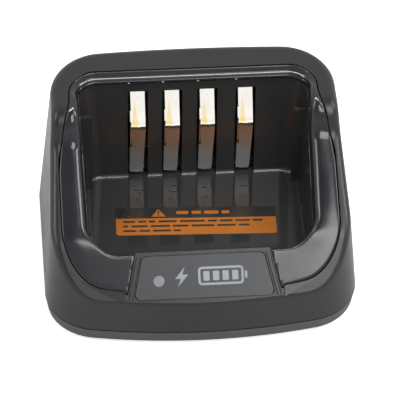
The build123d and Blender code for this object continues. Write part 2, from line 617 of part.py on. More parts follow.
def make_contact_axles():
    """Pins that the spring roots turn on, held in the carrier."""
    axles = [Pos(x, *EYE_CENTRE) * Rot(0, 90, 0) * Cylinder(AXLE_RADIUS, 7.0) for x in CONTACT_X]
    return Compound(children=[axle.solid() for axle in axles])


def make_contact_carrier(axles, terminals):
    """Insulating block behind the pocket that holds the spring roots and their terminals."""
    carrier = box((-20.0, 20.0), (21.7, 26.8), (BOARD_Z[1], 17.0))
    for x in CONTACT_X:
        carrier = carrier - box((x - 2.45, x + 2.0), (20.0, 25.6), (10.6, 18.0))
    return (carrier - axles - terminals).solid()


def make_contact_terminals():
    """Tails that carry current from the spring roots down through the board."""
    tails = []
    for x in CONTACT_X:
        tails.append(box((x - 0.5, x + 0.5), (25.9, 26.4), (TAIL_END_Z, 15.0)))
    return Compound(children=[tail.solid() for tail in tails])


def make_jack_shell():
    """Moulded body of the power inlet, with a round nose in the rear wall."""
    width, depth, height = JACK_BODY
    front = JACK_FRONT_Y
    low = BOARD_Z[1]
    body = box((JACK_X - width / 2, JACK_X + width / 2), (front - depth, front), (low, low + height))
    body = fillet(body.edges().filter_by(Axis.Y).group_by(Axis.Z)[-1], 1.0)
    end = front + JACK_NOSE_LENGTH
    nose = lying_rod(JACK_NOSE_RADIUS, front, end)
    return (body + nose - lying_rod(JACK_BORE_RADIUS, end - JACK_BORE_DEPTH, end)).solid()


def make_jack_pin():
    """Centre contact of the power inlet."""
    end = JACK_FRONT_Y + JACK_NOSE_LENGTH
    pin = lying_rod(JACK_PIN_RADIUS, end - JACK_BORE_DEPTH, end - JACK_PIN_SETBACK)
    return fillet(pin.edges().sort_by(Axis.Y)[-1], 0.5).solid()


def make_jack_terminals():
    """Flat solder tails of the power inlet, from its underside down through the board."""
    tails = [block(JACK_X + x, y, (1.2, 0.5), (TAIL_END_Z, BOARD_Z[1]))
             for x, y in ((0.0, 23.0), (0.0, 27.0), (-2.8, 25.0))]
    return Compound(children=[tail.solid() for tail in tails])


def make_controller():
    """Flat integrated circuit with a row of bent leads along two sides."""
    x, y, low = *CONTROLLER_AT, BOARD_Z[1]
    chip = chamfer_top(block(x, y, CONTROLLER_SIZE, (low + 0.2, low + 1.7)), 0.25)
    for side in (-1, 1):
        for index in range(LEADS_PER_SIDE):
            lead_y = y + (index - (LEADS_PER_SIDE - 1) / 2) * LEAD_PITCH
            foot = block(x + side * 2.8, lead_y, (0.8, LEAD_WIDTH), (low, low + 0.2))
            leg = block(x + side * 2.5, lead_y, (0.2, LEAD_WIDTH), (low, low + 0.9))
            arm = block(x + side * 2.25, lead_y, (0.7, LEAD_WIDTH), (low + 0.7, low + 0.9))
            chip = chip + foot + leg + arm
    return chip.solid()


def chamfer_top(body, size):
    """Body with its upper edges chamfered."""
    return chamfer(body.edges().group_by(Axis.Z)[-1], size)


def make_power_transistor():
    """Power transistor lying on its metal tab."""
    x, y, low = *TRANSISTOR_AT, BOARD_Z[1]
    device = chamfer_top(block(x, y, (6.6, 6.0), (low + 0.5, low + 2.3)), 0.3)
    device = device + box((x - 2.7, x + 2.7), (y - 3.0, y + 4.2), (low, low + 0.5))
    for lead_x in (x - 2.3, x + 2.3):
        device = device + block(lead_x, y - 4.15, (0.8, 2.5), (low + 0.5, low + 1.0))
        device = device + block(lead_x, y - 5.0, (0.8, 0.8), (low, low + 0.6))
    return device.solid()


def make_inductor():
    """Squat shielded coil with a round winding between two square cheeks."""
    x, y, low = *INDUCTOR_AT, BOARD_Z[1]
    cheeks = [Pos(x, y, z) * extrude(RectangleRounded(7.4, 7.4, 1.6), 0.9) for z in (low, low + 3.3)]
    winding = rod(3.3, x, y, (low + 0.8, low + 3.4))
    return (cheeks[0] + winding + cheeks[1]).solid()


def make_diode():
    """Moulded rectifier with two wrapped end caps."""
    x, y, low = *DIODE_AT, BOARD_Z[1]
    body = chamfer_top(block(x, y, (4.2, 2.6), (low + 0.15, low + 2.2)), 0.3)
    for side in (-1, 1):
        body = body + block(x + side * 1.95, y, (1.3, 1.4), (low, low + 0.4))
    return body.solid()


def make_capacitors():
    """Upright electrolytic capacitors in the space behind the pocket."""
    cans = []
    for x, y in CAPACITORS_AT:
        can = rod(CAPACITOR_RADIUS, x, y, (BOARD_Z[1], BOARD_Z[1] + CAPACITOR_HEIGHT))
        cans.append(fillet(can.edges().group_by(Axis.Z)[-1], 0.4).solid())
    return Compound(children=cans)


def make_chip_parts():
    """Small surface-mounted resistors and capacitors, as separate solids."""
    chips = []
    width, depth, height = CHIP_SIZE
    for x, y, turn in CHIPS_AT:
        chip = fillet(Box(width, depth, height).edges().filter_by(Axis.Y), 0.12)
        chips.append((Pos(x, y, BOARD_Z[1] + height / 2) * Rot(0, 0, turn) * chip).solid())
    return Compound(children=chips)


def build_all():
    """Every piece of the charger by node name."""
    outside = housing_solid()
    void = pocket_void()
    axles = make_contact_axles()
    terminals = make_contact_terminals()
    jack_terminals = make_jack_terminals()
    lamp_leads = make_lamp_leads()
    pieces = {
        "top_housing": make_top_housing(outside, void),
        "collar_bezel": make_collar(outside, void),
        "pocket_well": make_pocket_well(void),
        "front_panel": make_front_panel(),
        "light_guide": make_light_guide(),
        "indicator_led": make_lamp(),
        "led_leads": lamp_leads,
        "base_cover": make_base_cover(),
        "rating_label": make_rating_label(),
        "notice_label": make_notice_label(),
        "rubber_feet": make_rubber_feet(),
        "case_screws": make_case_screws(),
        "board_screws": make_board_screws(),
        "circuit_board": make_circuit_board([terminals, jack_terminals, lamp_leads]),
        "contact_carrier": make_contact_carrier(axles, terminals),
        "contact_axles": axles,
        "contact_terminals": terminals,
        "dc_jack_shell": make_jack_shell(),
        "dc_jack_pin": make_jack_pin(),
        "dc_jack_terminals": jack_terminals,
        "charge_controller": make_controller(),
        "power_transistor": make_power_transistor(),
        "power_inductor": make_inductor(),
        "rectifier_diode": make_diode(),
        "electrolytic_capacitors": make_capacitors(),
        "chip_parts": make_chip_parts(),
    }
    for index, x in enumerate(CONTACT_X, start=1):
        pieces[f"contact_spring_{index}"] = make_contact_spring(x)
    return pieces


os.makedirs("parts", exist_ok=True)
for name, shape in build_all().items():
    export_step(shape, f"parts/{name}.step")
    print(name, round(shape.volume, 1), shape.is_valid)
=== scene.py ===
import json
import math

import bmesh
import bpy
from mathutils import Matrix, Vector


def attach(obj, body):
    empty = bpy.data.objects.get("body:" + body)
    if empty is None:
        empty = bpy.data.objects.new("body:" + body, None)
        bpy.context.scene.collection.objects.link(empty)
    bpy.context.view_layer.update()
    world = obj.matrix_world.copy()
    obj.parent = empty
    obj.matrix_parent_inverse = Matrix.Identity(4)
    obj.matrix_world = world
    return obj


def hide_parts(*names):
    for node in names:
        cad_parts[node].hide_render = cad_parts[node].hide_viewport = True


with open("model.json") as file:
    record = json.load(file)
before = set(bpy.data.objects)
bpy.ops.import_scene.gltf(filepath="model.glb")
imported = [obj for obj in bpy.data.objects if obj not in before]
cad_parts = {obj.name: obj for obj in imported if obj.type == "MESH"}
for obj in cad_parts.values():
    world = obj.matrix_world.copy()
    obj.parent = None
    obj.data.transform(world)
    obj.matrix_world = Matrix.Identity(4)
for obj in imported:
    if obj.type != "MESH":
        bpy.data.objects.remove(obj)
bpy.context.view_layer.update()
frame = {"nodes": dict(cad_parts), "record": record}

# The scene is in metres, in the frame's own axes: X is the width, +Y the rear, +Z up.
# Shapes are worked out in millimetres, and MM turns them into metres. Angles are in degrees.
MM = 0.001
NODES = frame["nodes"]
ROOT = "charger"

# Geometry helpers: farther than any distance, nearly parallel, and the steps of a box's rounded corner
FAR, PARALLEL = 1e9, 1e-9
BOX_STEP = 22.5

# Camera: direction from the part, metres of distance and height, and millimetres of sensor and lens
CAMERA_AZIMUTH, CAMERA_ELEVATION, CAMERA_ROLL = -5.45, 43.0, 1.27
CAMERA_DISTANCE = 0.80
CAMERA_AIM_HEIGHT = 0.022
CAMERA_SENSOR = 36.0
CAMERA_LENS = 256.5
CAMERA_SHIFT = (0.0155, -0.0154)
CAMERA_REACH = (0.01, 20.0)

# Surroundings: (sine of the elevation, radiance) bands in front, and one level behind, blended over Y
WORLD_BANDS = ((0.0, 0.9), (0.27, 1.05), (0.45, 0.6), (0.80, 0.4), (0.90, 0.22), (0.97, 0.22), (1.0, 0.3))
REAR_LEVEL = 1.08
REAR_BLEND = (-0.2, 0.4)

# Floor: half of its side and the gap below the feet in metres, its grey, and a glow only the camera sees
FLOOR_HALF, FLOOR_GAP = 3.0, 0.0002
FLOOR_GREY, FLOOR_ROUGHNESS, FLOOR_GLOW = 0.84, 0.9, 0.6

# Softboxes: name, azimuth, elevation, width and height at one metre, radiance, the only pieces it reaches
LIGHT_TARGET = (0.0, 0.0, 0.02)
SPRINGS = tuple(f"contact_spring_{number}" for number in (1, 2, 3, 4))
SOFTBOXES = (
    ("right_softbox", 25.0, 53.0, 0.42, 0.48, 7.0, ()),
    ("right_edge_strip", 82.0, 46.0, 0.16, 0.60, 9.0, ()),
    ("left_edge_strip", -78.0, 48.0, 0.14, 0.60, 7.0, ()),
    ("hood_strip", 180.0, 84.0, 0.90, 0.09, 26.0, ("collar",)),
    ("pocket_strip", 0.0, 77.0, 0.90, 0.09, 18.0, ("pocket_well",) + SPRINGS),
)

# Side profile of the housing's top sheet in millimetres: (y, z) and the rounding at each point
SHEET_STEP = 2.0
SHEET_POINTS = ((-45.0, 0.15), (-20.5, 24.9), (4.0, 40.3), (7.0, 47.2), (60.0, 54.4))
SHEET_RADII = (0.0, 14.0, 8.5, 8.0, 0.0)

# Collar: plan of its outer edge (the seam) and of the pocket mouth, in millimetres
SEAM_HALF_HOOD, SEAM_HALF_ARM = 34.25, 37.95
SEAM_REAR, SEAM_FRONT, SEAM_BOW = 22.65, -31.35, 4.6
SEAM_REAR_RADIUS, SEAM_FRONT_RADIUS, SEAM_BEND_RADIUS = 7.85, 12.85, 14.0
SEAM_BEND_Y = (12.0, 0.0)
MOUTH_HALF, MOUTH_FRONT, MOUTH_REAR = 30.2, -21.6, 19.2
MOUTH_GROWTH = (1.7, 3.6, 2.7)
MOUTH_Z = (13.0, 54.0)
MOUTH_RADII = (8.0, 5.0)
MOUTH_START, MOUTH_SPACING, MOUTH_STEP = 12.0, 1.0, 4.0
SPREAD_ROUNDS, BOW_STEPS = 4, 12

# Collar cross-section, in millimetres. A pair is (distance inward from the seam, drop below the sheet).
# The hood's profile has a ridge, then a bevel from point BEVEL_FIRST and narrow steps from STEP_FIRST.
COLLAR_DEPTH, LIP_DEPTH, LIP_WIDTH = 2.2, 2.8, 1.2
LIP_LEAST, LIP_SLANT, LIP_RISE, WEB_LEAST, WEB_RISE = 0.2, 0.2, 0.3, 0.4, 0.35
ARM_ROUND, FRONT_ROUND, ARM_CROWN = 2.6, 1.1, 0.35
ROUND_SHARE = 0.6
ARM_STEPS, ROUND_STEPS, BEVEL_POINTS = 9, 7, 9
HOOD_BLEND, FRONT_BLEND = (13.0, 19.5), (14.0, 22.0)
SEAM_EDGE = ((0.0, 0.42), (0.09, 0.2), (0.24, 0.05), (0.45, 0.0))
HOOD_BEVEL = ((0.0, 0.3), (0.08, 0.08), (0.28, 0.0), (0.4, 0.08), (1.15, 1.18), (1.22, 1.25), (1.70, 1.43),
              (1.78, 1.5), (1.8, 1.98), (1.84, 2.06), (2.08, 2.19), (2.12, 2.25))
BEVEL_FIRST, STEP_FIRST = 3, 5

# Nameplate in the front slope, in millimetres in the slope's own plane, and the collar's ends beside it
SLOPE_CENTRE = (-27.4, 17.95)
PANEL_HALF_TOP, PANEL_HALF_BOTTOM, PANEL_HEIGHT = 16.6, 19.2, 11.8
PANEL_TOP = 0.12
BRIDGE_MARGIN = 2.1
END_ZONE_Y = -16.0
END_ROUND, END_ROUND_STEPS = 0.25, 3

# Mark on the nameplate, in millimetres in the same plane: a battery with charge bars, and a bolt
MARK_THICKNESS = 0.03
BATTERY_X, BATTERY_SIZE, BATTERY_LINE, BATTERY_RADII = 4.6, (12.4, 5.0), 0.62, (1.0, 0.45)
TIP_SIZE, TIP_GAP, TIP_RADIUS = (0.7, 2.0), 0.65, 0.3
BAR_COUNT, BAR_SIZE, BAR_PITCH, BAR_FIRST, BAR_RADIUS = 4, (1.7, 2.6), 2.62, -3.95, 0.25
BOLT = ((-5.2, 2.7), (-7.9, -0.5), (-6.3, -0.5), (-7.2, -2.7), (-4.3, 0.6), (-5.9, 0.6))

# Notice on the pocket floor, in millimetres: dark header with a triangle and a title, then rows of bars
NOTICE_CENTRE, NOTICE_SIZE, NOTICE_TURN = (0.05, -0.45), (44.7, 10.9), -2.2
NOTICE_TOP = 13.12
HEADER_DEPTH, HEADER_OVERLAP, HEADER_RADIUS = 4.2, 0.04, 0.3
DARK_THICKNESS, ORANGE_THICKNESS, BARS_LIFT = 0.02, 0.015, 0.016
TRIANGLE_X, TRIANGLE_HALF, TRIANGLE_FOOT, TRIANGLE_TIP = -10.4, 2.0, -1.5, 1.6
STROKE_FOOT_HALF, STROKE_TOP_HALF, STROKE_HALF_HEIGHT = 0.15, 0.25, 0.75
DOT_DROP, DOT_SIZE, DOT_RADIUS = -1.12, 0.36, 0.15
TITLE_START, TITLE_BARS, TITLE_HEIGHT, TITLE_GAP, TITLE_RADIUS = -5.4, (3.4, 2.6, 4.0, 2.2), 1.25, 0.9, 0.3
ROW_INSET, ROW_FIRST, ROW_PITCH, ROW_HEIGHT, ROW_GAP, ROW_RADIUS = 2.0, 1.35, 1.85, 0.72, 0.8, 0.2
ROWS = ((3.4, 2.2, 1.8, 5.2, 7.0, 2.6, 3.6, 4.0, 2.8),
        (1.4, 4.6, 5.4, 4.4, 6.4, 5.2, 3.0),
        (3.6, 3.0, 5.0, 2.0))


# ---------------------------------------------------------------- node helpers

class Nodes:
    """Short way to build a node tree."""

    def __init__(self, tree, material=None):
        self.tree = tree
        self.material = material
        self.tree.nodes.clear()
        self.coords = self.tree.nodes.new("ShaderNodeTexCoord").outputs["Object"]

    def add(self, kind, **settings):
        """New node with some of its properties or inputs set."""
        node = self.tree.nodes.new(kind)
        for key, value in settings.items():
            if key in node.bl_rna.properties.keys():
                setattr(node, key, value)
            else:
                self.set(node.inputs[key.replace("_", " ")], value)
        return node

    def set(self, socket, value):
        """Gives a socket a value, or links another node's output to it."""
        if isinstance(value, bpy.types.NodeSocket):
            self.tree.links.new(value, socket)
        else:
            socket.default_value = value

    def noise(self, scale, detail=3.0, roughness=0.5, vector=None):
        """Soft noise between 0 and 1; scale is in bumps per metre."""
        node = self.add("ShaderNodeTexNoise", Scale=scale, Detail=detail, Roughness=roughness)
        self.set(node.inputs["Vector"], vector or self.coords)
        return node.outputs["Fac"]

    def stretched(self, scale):
        """The object's coordinates, scaled by a different amount along each axis."""
        node = self.add("ShaderNodeMapping", Vector=self.coords)
        node.inputs["Scale"].default_value = scale
        return node.outputs[0]

    def axes(self, vector):
        """X, Y and Z outputs of a vector."""
        return self.add("ShaderNodeSeparateXYZ", Vector=vector).outputs

    def ramp(self, factor, low, high, start=0.0, end=1.0):
        """Number or colour that goes from low to high as factor goes from start to end."""
        if isinstance(low, tuple):
            return self.mix(self.ramp(factor, 0.0, 1.0, start, end), low, high)
        node = self.add("ShaderNodeMapRange", Value=factor, From_Min=start, From_Max=end, To_Min=low,
                        To_Max=high)
        return node.outputs[0]

    def math(self, operation, a, b=0.0):
        """Result of one arithmetic operation."""
        node = self.add("ShaderNodeMath", operation=operation)
        self.set(node.inputs[0], a)
        self.set(node.inputs[1], b)
        return node.outputs[0]

    def mix(self, factor, a, b):
        """Colour between a and b. The colour sockets of this node are numbers 6 and 7 in and 2 out."""
        node = self.add("ShaderNodeMix", data_type="RGBA")
        self.set(node.inputs[0], factor)
        self.set(node.inputs[6], a)
        self.set(node.inputs[7], b)
        return node.outputs[2]

    def bump(self, height, distance):
        """Normal roughened by a height that spans a distance in metres."""
        return self.add("ShaderNodeBump", Strength=1.0, Distance=distance, Height=height).outputs["Normal"]

    def edge_wear(self, radius):
        """1 on sharp outside edges, 0 on flat faces."""
        bevel = self.add("ShaderNodeBevel", samples=4, Radius=radius)
        geometry = self.add("ShaderNodeNewGeometry")
        dot = self.add("ShaderNodeVectorMath", operation="DOT_PRODUCT")
        self.set(dot.inputs[0], bevel.outputs[0])
        self.set(dot.inputs[1], geometry.outputs["Normal"])
        return self.ramp(dot.outputs["Value"], 1.0, 0.0, 0.75, 0.99)

    def camera_ray(self):
        """1 where the camera looks straight at the surface, 0 in reflections and for light."""
        return self.add("ShaderNodeLightPath").outputs["Is Camera Ray"]

    def finish(self, color, roughness, metallic=0.0, normal=None, **extra):
        """Ends the tree with a shader and hands back the material."""
        output = self.add("ShaderNodeOutputMaterial")
        shader = self.add("ShaderNodeBsdfPrincipled", Base_Color=color, Roughness=roughness,
                          Metallic=metallic)
        self.tree.links.new(shader.outputs[0], output.inputs["Surface"])
        if normal is not None:
            self.set(shader.inputs["Normal"], normal)
        for key, value in extra.items():
            self.set(shader.inputs[key.replace("_", " ")], value)
        return self.material


def new_material(name):
    """Empty material and the tool that builds its nodes."""
    material = bpy.data.materials.new(name)
    material.use_nodes = True
    return Nodes(material.node_tree, material)


def rgb(red, green, blue):
    """Opaque colour."""
    return (red, green, blue, 1.0)


def grey(level):
    """Opaque neutral colour."""
    return rgb(level, level, level)


def tinted(color, gain, lift=0.0):
    """The same colour, brightened or dimmed."""
    return rgb(*(min(1.0, gain * channel + lift) for channel in color[:3]))


# ---------------------------------------------------------------- materials

def moulded(name, dark, light, roughness, grain, grain_depth, specular=0.5):
    """Moulded plastic: slow colour drift, fine surface texture, handling marks and paler worn edges."""
    n = new_material(name)
    color = n.ramp(n.noise(38.0), dark, light, 0.3, 0.7)
    worn = n.math("MULTIPLY", n.edge_wear(0.6 * MM), n.ramp(n.noise(420.0), 0.0, 0.35, 0.45, 0.7))
    color = n.mix(worn, color, tinted(light, 2.2, 0.02))
    smear = n.noise(95.0, 4.0, 0.6)
    rough = n.ramp(smear, roughness - 0.03, roughness + 0.04, 0.3, 0.75)
    normal = n.bump(n.noise(grain, 2.0), grain_depth)
    return n.finish(color, rough, normal=normal, Specular_IOR_Level=specular)


def gloss(name, dark, light, roughness):
    """Polished plastic: deep colour, faint flow marks, dust specks and hairline scratches."""
    n = new_material(name)
    color = n.ramp(n.noise(45.0, 2.0), dark, light, 0.3, 0.7)
    dust = n.ramp(n.noise(2600.0, 1.0), 0.0, 0.06, 0.76, 0.84)
    color = n.mix(dust, color, grey(0.35))
    scratch = n.ramp(n.noise(260.0, 3.0, 0.6, n.stretched((1.0, 14.0, 1.0))), 0.0, 0.10, 0.62, 0.74)
    rough = n.math("ADD", scratch, n.ramp(n.noise(70.0), roughness, roughness + 0.05, 0.35, 0.7))
    return n.finish(color, rough, normal=n.bump(n.noise(120.0, 2.0), 0.02 * MM))


def pocket(name):
    """Pocket liner: mirror-smooth floor, finely textured walls and faint rub marks."""
    n = new_material(name)
    color = n.ramp(n.noise(60.0), rgb(0.020, 0.0195, 0.019), rgb(0.026, 0.025, 0.0245), 0.3, 0.7)
    upward = n.axes(n.add("ShaderNodeNewGeometry").outputs["Normal"])["Z"]
    floor = n.ramp(upward, 0.0, 1.0, 0.75, 0.95)
    rub = n.ramp(n.noise(85.0, 4.0, 0.6), 0.0, 0.06, 0.4, 0.75)
    rough = n.math("ADD", n.ramp(floor, 0.18, 0.04), rub)
    return n.finish(color, rough, normal=n.bump(n.noise(140.0, 2.0), 0.02 * MM))


def gold(name):
    """Plated spring leaf: pale above the bend with a painted yellow highlight wedge along its ridge, and
    below it a painted brown reflection fading to grey; finely brushed.
    """
    n = new_material(name)
    place = n.axes(n.add("ShaderNodeTexCoord").outputs["Generated"])
    across, height = place["X"], place["Z"]
    pale = n.ramp(n.noise(320.0, 4.0, 0.6), rgb(0.95, 0.91, 0.84), rgb(0.98, 0.96, 0.92), 0.35, 0.7)
    # Painted reflection: brown near the bend, where the orange notice would reflect, fading to a darker grey
    # towards the bottom.
    painted_reflection = n.ramp(height, rgb(0.56, 0.55, 0.54), rgb(0.60, 0.42, 0.30), 0.28, 0.42)
    below_bend = n.ramp(height, 1.0, 0.0, 0.60, 0.63)
    color = n.mix(below_bend, pale, painted_reflection)
    # Painted highlight: a yellow wedge along the embossed ridge, narrowing upward on the face above the bend.
    from_ridge = n.math("ABSOLUTE", n.math("SUBTRACT", across, 0.33))
    highlight_half = n.ramp(height, 0.34, 0.02, 0.58, 0.86)
    painted_highlight = n.ramp(n.math("SUBTRACT", from_ridge, highlight_half), 0.9, 0.0, -0.10, 0.02)
    painted_highlight = n.math("MULTIPLY", painted_highlight, n.ramp(height, 1.0, 0.0, 0.84, 0.90))
    painted_highlight = n.math("MULTIPLY", painted_highlight, n.math("SUBTRACT", 1.0, below_bend))
    color = n.mix(painted_highlight, color, rgb(0.96, 0.76, 0.38))
    brushing = n.noise(900.0, 2.0, vector=n.stretched((9.0, 1.0, 1.0)))
    rough = n.math("ADD", n.ramp(brushing, 0.08, 0.16, 0.3, 0.7), n.math("MULTIPLY", below_bend, 0.22))
    return n.finish(color, rough, 1.0, n.bump(brushing, 0.002 * MM))


def plated(name, color, roughness, scale=600.0):
    """Plated or plain metal with light mottling."""
    n = new_material(name)
    tone = n.noise(scale)
    shade = n.ramp(tone, tinted(color, 0.72), color, 0.3, 0.65)
    rough = n.ramp(n.noise(scale * 0.4), roughness - 0.06, roughness + 0.12, 0.3, 0.7)
    return n.finish(shade, rough, 1.0, n.bump(tone, 0.01 * MM))


def rubber(name):
    """Matt rubber with a grey bloom."""
    n = new_material(name)
    bloom = n.noise(210.0, 4.0, 0.6)
    color = n.ramp(bloom, grey(0.018), rgb(0.05, 0.05, 0.048), 0.35, 0.75)
    return n.finish(color, n.ramp(bloom, 0.75, 0.92), normal=n.bump(n.noise(1800.0), 0.04 * MM))


def solder_mask(name):
    """Green circuit board with paler copper tracks showing through the mask."""
    n = new_material(name)
    bricks = n.add("ShaderNodeTexBrick", offset=0.37, squash=0.6, Vector=n.coords, Scale=210.0,
                   Mortar_Size=0.035)
    track = bricks.outputs["Fac"]
    weave = n.noise(900.0, 2.0)
    base = n.ramp(weave, rgb(0.008, 0.07, 0.03), rgb(0.012, 0.10, 0.045), 0.3, 0.7)
    color = n.mix(track, base, rgb(0.03, 0.22, 0.09))
    return n.finish(color, n.ramp(weave, 0.24, 0.36), normal=n.bump(track, 0.03 * MM))


def printed_film(name, dark, light, roughness):
    """Printed film with a faint print dot and handling haze."""
    n = new_material(name)
    color = n.ramp(n.noise(75.0), dark, light, 0.3, 0.7)
    dots = n.add("ShaderNodeTexVoronoi", Vector=n.coords, Scale=5200.0)
    rough = n.ramp(n.noise(140.0), roughness - 0.06, roughness + 0.08, 0.3, 0.7)
    return n.finish(color, rough, normal=n.bump(dots.outputs["Distance"], 0.004 * MM))


def frosted(name):
    """Cloudy light guide over an unlit lamp."""
    n = new_material(name)
    cloud = n.noise(500.0)
    color = n.ramp(cloud, rgb(0.15, 0.15, 0.162), rgb(0.21, 0.21, 0.225), 0.3, 0.7)
    return n.finish(color, n.ramp(cloud, 0.28, 0.42), normal=n.bump(cloud, 0.01 * MM),
                    Subsurface_Weight=0.25, Subsurface_Scale=MM)


def make_materials():
    """One material for each slot, and two more for the printed marks."""
    return {
        "housing_plastic": moulded("satin_housing", grey(0.007), rgb(0.011, 0.011, 0.0105), roughness=0.30,
                                   grain=2600.0, grain_depth=0.004 * MM),
        "collar_plastic": gloss("gloss_collar", rgb(0.007, 0.008, 0.0095), rgb(0.011, 0.012, 0.014),
                                roughness=0.13),
        "pocket_plastic": pocket("gloss_pocket"),
        "panel_plastic": moulded("satin_panel", rgb(0.030, 0.031, 0.034), rgb(0.038, 0.039, 0.042),
                                 roughness=0.30, grain=3400.0, grain_depth=0.003 * MM, specular=0.4),
        "base_plastic": moulded("fine_base", grey(0.040), grey(0.052), roughness=0.50, grain=2000.0,
                                grain_depth=0.01 * MM),
        "guide_plastic": frosted("frosted_guide"),
        "lamp_epoxy": frosted("milky_lamp"),
        "rating_film": printed_film("rating_film", rgb(0.20, 0.20, 0.21), rgb(0.26, 0.26, 0.27),
                                    roughness=0.38),
        "notice_film": printed_film("notice_orange", rgb(0.40, 0.118, 0.006), rgb(0.46, 0.14, 0.010),
                                    roughness=0.36),
        "notice_black": printed_film("notice_black", grey(0.012), grey(0.02), roughness=0.30),
        "mark_ink": printed_film("mark_ink", rgb(0.21, 0.24, 0.255), rgb(0.26, 0.29, 0.305), roughness=0.40),
        "foot_rubber": rubber("foot_rubber"),
        "screw_steel": plated("zinc_screw", rgb(0.62, 0.62, 0.64), roughness=0.32),
        "board_laminate": solder_mask("green_board"),
        "carrier_plastic": moulded("carrier_plastic", grey(0.012), grey(0.02), roughness=0.52, grain=1800.0,
                                   grain_depth=0.01 * MM),
        "axle_steel": plated("axle_steel", rgb(0.58, 0.58, 0.6), roughness=0.25),
        "terminal_brass": plated("terminal_brass", rgb(0.86, 0.67, 0.34), roughness=0.28),
        "jack_plastic": moulded("jack_plastic", grey(0.010), grey(0.016), roughness=0.46, grain=1500.0,
                                grain_depth=0.01 * MM),
        "jack_pin_nickel": plated("nickel_pin", rgb(0.70, 0.66, 0.60), roughness=0.18),
        "tinned_lead": plated("tinned_lead", rgb(0.68, 0.68, 0.70), roughness=0.30),
        "chip_epoxy": moulded("chip_epoxy", rgb(0.014, 0.014, 0.015), rgb(0.024, 0.024, 0.026),
                              roughness=0.58, grain=2400.0, grain_depth=0.01 * MM),
        "ferrite": moulded("ferrite", rgb(0.03, 0.03, 0.033), rgb(0.06, 0.06, 0.064), roughness=0.62,
                           grain=1200.0, grain_depth=0.03 * MM),
        "can_aluminium": plated("can_aluminium", rgb(0.66, 0.67, 0.70), roughness=0.30, scale=300.0),
        "chip_ceramic": moulded("chip_ceramic", rgb(0.16, 0.12, 0.08), rgb(0.24, 0.19, 0.13), roughness=0.50,
                                grain=1500.0, grain_depth=0.01 * MM),
        "contact_gold": gold("contact_gold"),
    }


def dress_cad(materials):
    """Every CAD node takes the material of its slot."""
    for entry in frame["record"]["subparts"]:
        node = NODES[entry["node"]]
        node.data.materials.clear()
        node.data.materials.append(materials[entry["material_slot"]])


# ---------------------------------------------------------------- camera, floor and light

def direction(azimuth, elevation):
    """Unit vector toward a place seen from the part, from degrees; azimuth 0 is the front."""
    turn, rise = math.radians(azimuth), math.radians(elevation)
    return Vector((math.sin(turn) * math.cos(rise), -math.cos(turn) * math.cos(rise), math.sin(rise)))


def add_camera():
    """Camera at the photograph's viewing angle."""
    away = direction(CAMERA_AZIMUTH, CAMERA_ELEVATION)
    data = bpy.data.cameras.new("camera")
    data.sensor_width = CAMERA_SENSOR
    data.lens = CAMERA_LENS
    data.shift_x, data.shift_y = CAMERA_SHIFT
    data.clip_start, data.clip_end = CAMERA_REACH
    camera = bpy.data.objects.new("camera", data)
    bpy.context.collection.objects.link(camera)
    camera.location = Vector((0.0, 0.0, CAMERA_AIM_HEIGHT)) + away * CAMERA_DISTANCE
    look = (-away).to_track_quat("-Z", "Y").to_matrix()
    roll = Matrix.Rotation(math.radians(-CAMERA_ROLL), 3, "Z")
    camera.rotation_euler = (look @ roll.inverted()).to_euler()
    bpy.context.scene.camera = camera


def add_floor():
    """Plain pale floor."""
    mesh = bpy.data.meshes.new("floor")
    shape = bmesh.new()
    bmesh.ops.create_grid(shape, x_segments=1, y_segments=1, size=FLOOR_HALF)
    shape.to_mesh(mesh)
    shape.free()
    floor = bpy.data.objects.new("floor", mesh)
    floor.location = (0.0, 0.0, -FLOOR_GAP)
    bpy.context.collection.objects.link(floor)
    n = new_material("floor_white")
    glow = n.math("MULTIPLY", n.camera_ray(), FLOOR_GLOW)
    n.finish(grey(FLOOR_GREY), FLOOR_ROUGHNESS, Emission_Color=grey(1.0), Emission_Strength=glow)
    mesh.materials.append(n.material)


def add_world():
    """Surroundings seen in reflections, as bands of height, behind a plain white backdrop."""
    world = bpy.data.worlds.new("studio")
    world.use_nodes = True
    n = Nodes(world.node_tree)
    axes = n.axes(n.add("ShaderNodeTexCoord").outputs["Generated"])
    bands = n.add("ShaderNodeValToRGB")
    n.set(bands.inputs[0], axes["Z"])
    ramp = bands.color_ramp
    while len(ramp.elements) < len(WORLD_BANDS):
        ramp.elements.new(0.5)
    for element, (place, level) in zip(ramp.elements, WORLD_BANDS):
        element.position = place
        element.color = grey(level)
    rear = n.ramp(axes["Y"], 0.0, 1.0, *REAR_BLEND)
    reflected = n.mix(rear, bands.outputs[0], grey(REAR_LEVEL))
    backdrop = n.add("ShaderNodeBackground", Color=n.mix(n.camera_ray(), reflected, grey(1.0)), Strength=1.0)
    output = n.add("ShaderNodeOutputWorld")
    n.tree.links.new(backdrop.outputs[0], output.inputs["Surface"])
    bpy.context.scene.world = world


def add_area(name, place, size, power):
    """Rectangular light that faces the part."""
    data = bpy.data.lights.new(name, "AREA")
    data.shape = "RECTANGLE"
    data.size, data.size_y = size
    data.energy = power
    lamp = bpy.data.objects.new(name, data)
    bpy.context.collection.objects.link(lamp)
    lamp.location = place
    lamp.rotation_euler = (Vector(LIGHT_TARGET) - place).to_track_quat("-Z", "Y").to_euler()
    return lamp


def add_lights(pieces):
    """Softboxes given by direction, angular size and radiance. Some reach a few pieces only."""
    for name, azimuth, elevation, width, height, level, reached in SOFTBOXES:
        power = level * math.pi * width * height
        lamp = add_area(name, direction(azimuth, elevation), (width, height), power)
        if reached:
            group = bpy.data.collections.new(name + "_reach")
            for piece in reached:
                group.objects.link(pieces[piece])
            lamp.light_linking.receiver_collection = group
    bpy.context.scene.view_settings.view_transform = "Standard"


# ---------------------------------------------------------------- plan geometry, in millimetres

